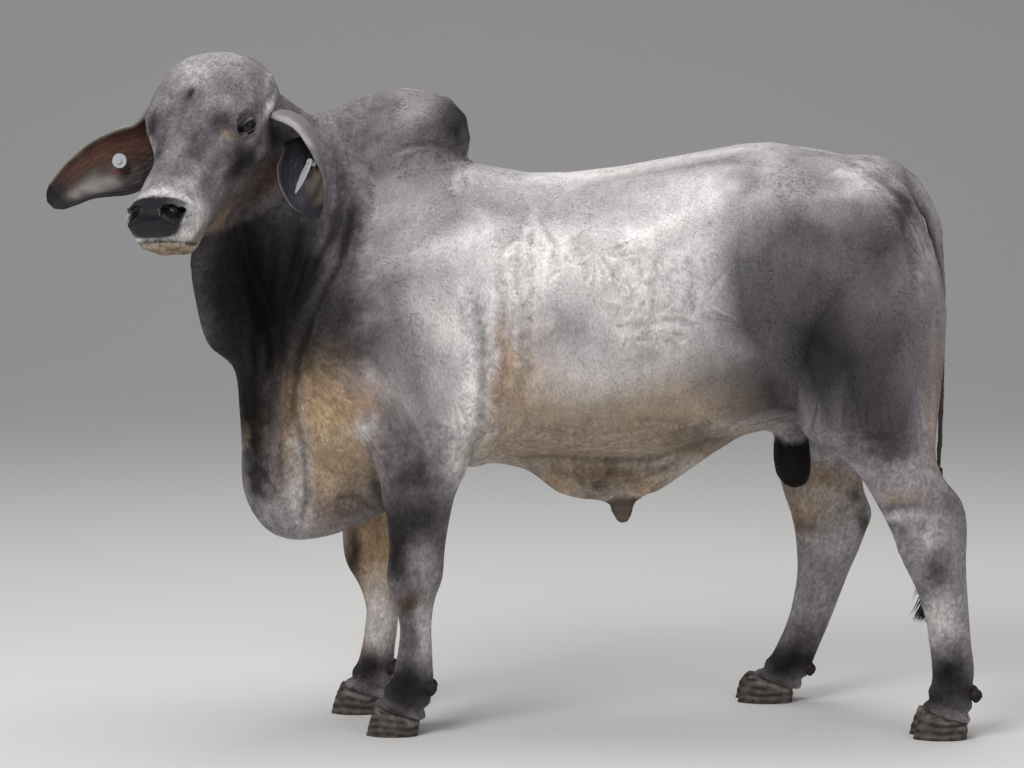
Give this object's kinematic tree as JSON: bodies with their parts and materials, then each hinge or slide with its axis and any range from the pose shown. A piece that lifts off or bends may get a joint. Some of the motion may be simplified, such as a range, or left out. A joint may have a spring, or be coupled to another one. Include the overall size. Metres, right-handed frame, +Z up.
{
  "type": "standing brahman bull",
  "caption": "Life-size standing grey Brahman bull, a still model with its hump, dewlap, drooping ears with plain tags and its head turned to its left.",
  "frame": {"origin": "on the ground under the middle of the whole animal's box", "axes": "+X along the body from the head to the rump, +Y to the animal's right side, +Z up"},
  "size_m": [2.2482, 0.8124, 1.6404],
  "materials": {
    "hide_grey": "short close hair, low sheen",
    "hide_dark": "short close hair, low sheen",
    "hide_face": "short close hair, low sheen",
    "hide_leg": "short close hair, low sheen",
    "hide_tan": "short thin hair, low sheen",
    "ear_hide": "short hair outside, fringed rim",
    "skin_dark": "nearly bare skin",
    "muzzle": "moist pebbled skin",
    "eye": "wet gloss",
    "hoof_horn": "scuffed horn",
    "switch_hair": "coarse long hair",
    "tag_plastic": "weathered plastic"
  },
  "bodies": {
    "root": {"head": "hide_face", "nose_pad": "muzzle", "eye_left": "eye", "eye_right": "eye", "ear_left": "ear_hide", "ear_right": "ear_hide", "tag_left": "tag_plastic", "tag_right": "tag_plastic", "hump": "hide_dark", "torso": "hide_grey", "neck": "hide_dark", "dewlap": "hide_dark", "sheath": "hide_tan", "scrotum": "skin_dark", "tail": "hide_grey", "tail_switch": "switch_hair", "fore_left_inner_claw": "hoof_horn", "fore_left_inner_dewclaw": "hoof_horn", "fore_left_outer_claw": "hoof_horn", "fore_left_outer_dewclaw": "hoof_horn", "fore_left_leg": "hide_leg", "fore_right_inner_claw": "hoof_horn", "fore_right_inner_dewclaw": "hoof_horn", "fore_right_outer_claw": "hoof_horn", "fore_right_outer_dewclaw": "hoof_horn", "fore_right_leg": "hide_leg", "hind_left_inner_claw": "hoof_horn", "hind_left_inner_dewclaw": "hoof_horn", "hind_left_outer_claw": "hoof_horn", "hind_left_outer_dewclaw": "hoof_horn", "hind_left_leg": "hide_leg", "hind_right_inner_claw": "hoof_horn", "hind_right_inner_dewclaw": "hoof_horn", "hind_right_outer_claw": "hoof_horn", "hind_right_outer_dewclaw": "hoof_horn", "hind_right_leg": "hide_leg"}
  },
  "joints": []
}
